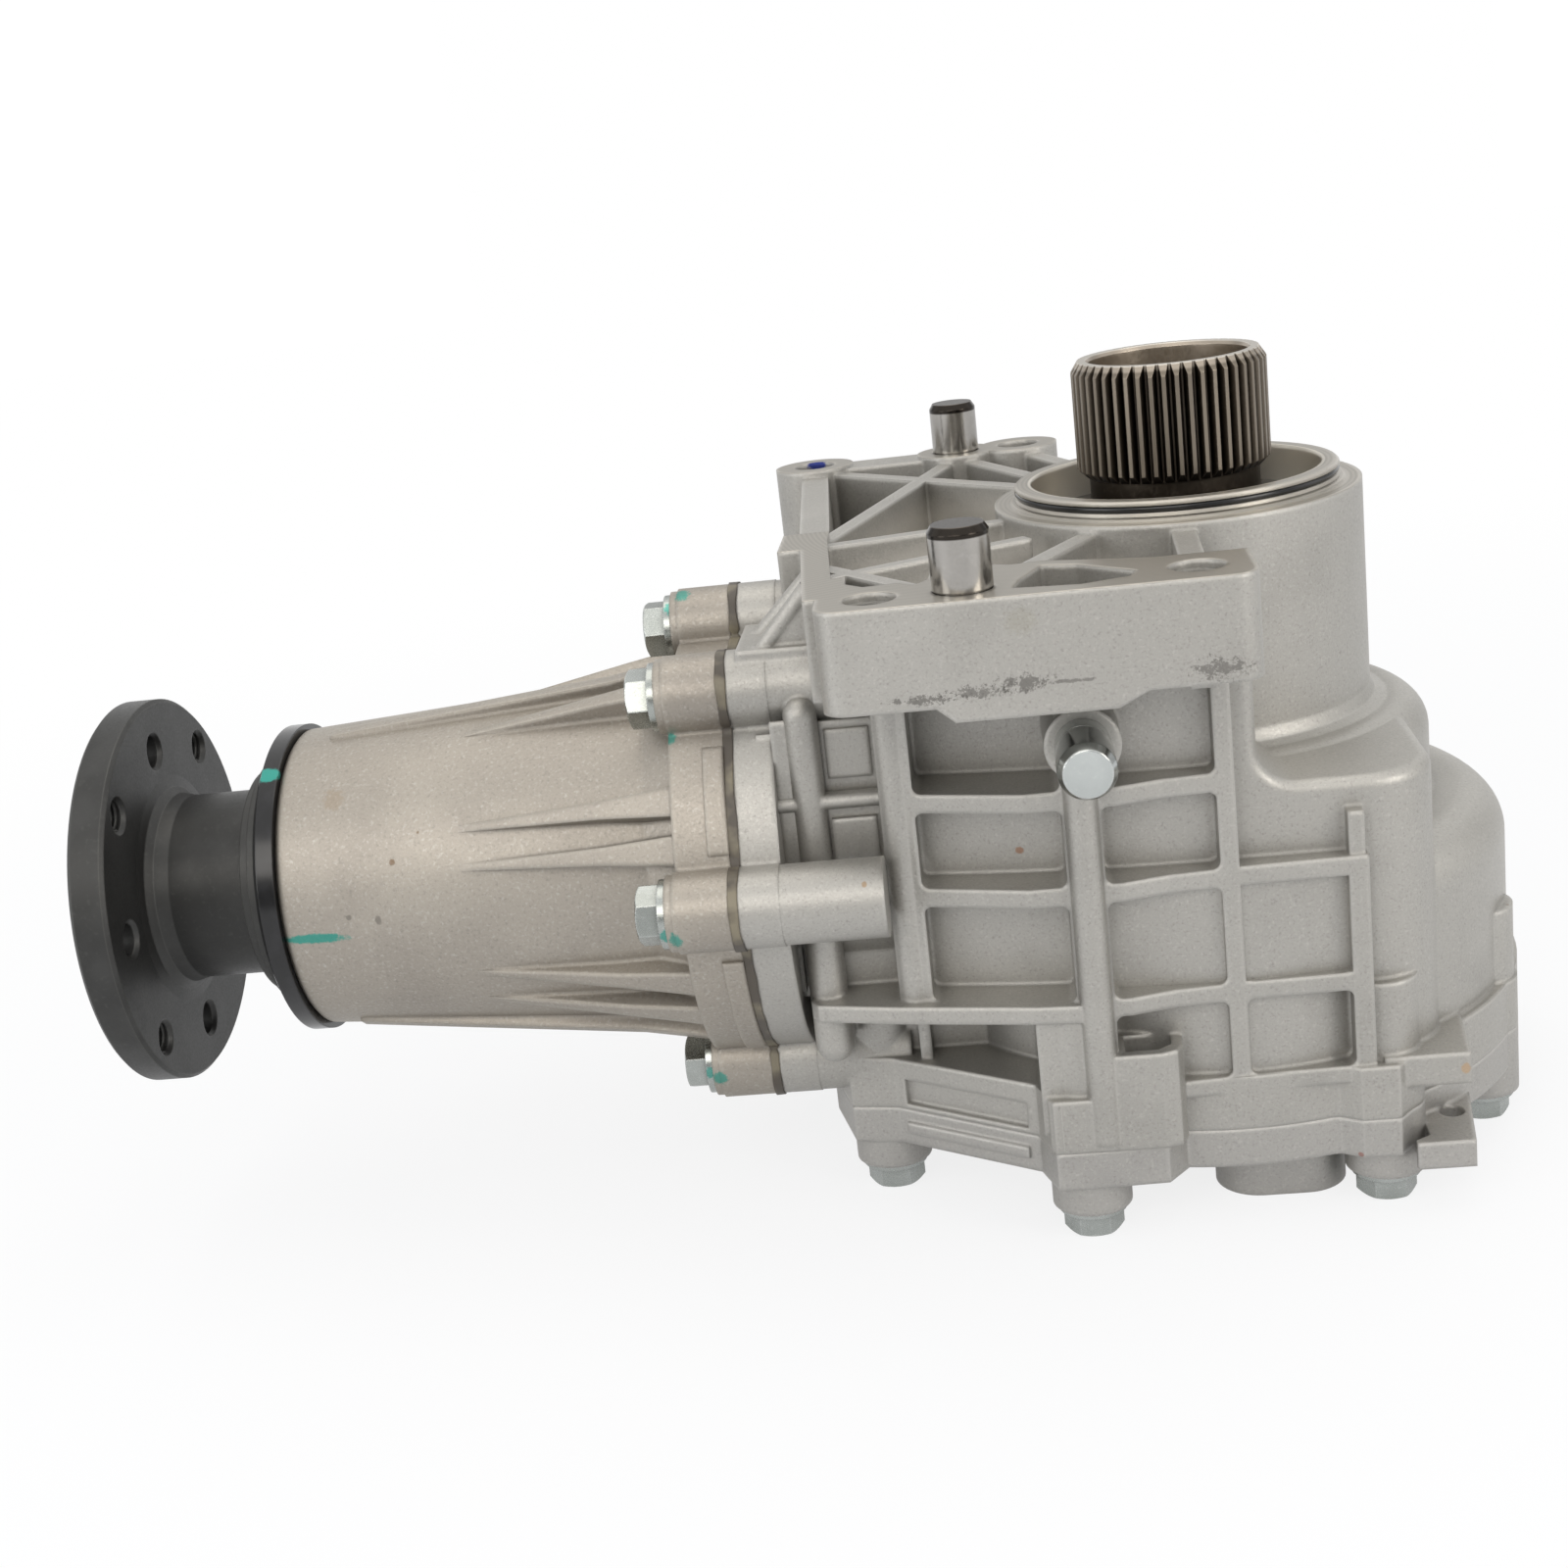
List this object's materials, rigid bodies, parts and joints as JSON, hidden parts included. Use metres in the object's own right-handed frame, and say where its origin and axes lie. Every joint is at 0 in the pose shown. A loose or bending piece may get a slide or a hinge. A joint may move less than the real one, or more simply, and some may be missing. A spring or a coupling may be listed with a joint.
{
  "type": "transfer case",
  "caption": "Transaxle-mounted transfer case: a splined hollow input drives a ring gear and pinion to a flanged output in a ribbed cast aluminium case.",
  "frame": {"origin": "centre of the input spigot on the transaxle mating plane", "axes": "+Z along the input shaft, out of the spigot; +X along the pinion axis, away from the output flange; -Y towards the ribbed side of the case"},
  "size_m": [0.3731, 0.2265, 0.206],
  "materials": {
    "cast_aluminium": "sand-cast, shot-blasted",
    "housing_aluminium": "sand-cast, shot-blasted",
    "black_flange": "phosphated black, turned",
    "spline_steel": "case-hardened, broached",
    "gear_steel": "case-hardened, ground",
    "bearing_steel": "ground and polished",
    "dowel_steel": "ground",
    "zinc_bolts": "zinc plated",
    "seal_rubber": "moulded, glossy",
    "sealant": "squeezed bead"
  },
  "bodies": {
    "housing": {"main_case": "cast_aluminium", "pinion_housing": "housing_aluminium", "case_cover": "cast_aluminium", "joint_sealant": "sealant", "spigot_o_ring": "seal_rubber", "dowel_pins": "dowel_steel", "pinion_housing_bolts": "zinc_bolts", "cover_bolts": "zinc_bolts", "input_top_bearing_outer": "bearing_steel", "input_bottom_bearing_outer": "bearing_steel", "input_oil_seal": "seal_rubber", "driveshaft_oil_seal": "seal_rubber", "pinion_oil_seal": "seal_rubber", "pinion_head_bearing_outer": "bearing_steel", "pinion_tail_bearing_outer": "bearing_steel", "breather_stem": "zinc_bolts", "breather_cap": "zinc_bolts"},
    "input_rotor": {"input_shaft": "spline_steel", "ring_gear": "gear_steel", "ring_gear_bolts": "gear_steel", "input_top_bearing_inner": "bearing_steel", "input_top_bearing_balls": "bearing_steel", "input_bottom_bearing_inner": "bearing_steel", "input_bottom_bearing_balls": "bearing_steel"},
    "pinion_rotor": {"pinion_shaft": "gear_steel", "companion_flange": "black_flange", "pinion_nut": "zinc_bolts", "dust_deflector": "black_flange", "pinion_shim": "gear_steel", "pinion_head_bearing_inner": "bearing_steel", "pinion_head_bearing_rollers": "bearing_steel", "pinion_tail_bearing_inner": "bearing_steel", "pinion_tail_bearing_rollers": "bearing_steel", "collapsible_spacer": "gear_steel"}
  },
  "joints": [
    {"name": "input_spin", "type": "hinge", "parent": "housing", "child": "input_rotor", "pos_m": [0, 0, 0], "axis": [0, 0, 1], "continuous": true},
    {"name": "pinion_spin", "type": "hinge", "parent": "housing", "child": "pinion_rotor", "pos_m": [0, -0.028, -0.0775], "axis": [1, 0, 0], "continuous": true}
  ],
  "couplings": [
    {"joint": "pinion_spin", "follows": "input_spin", "ratio": -2.6154}
  ]
}
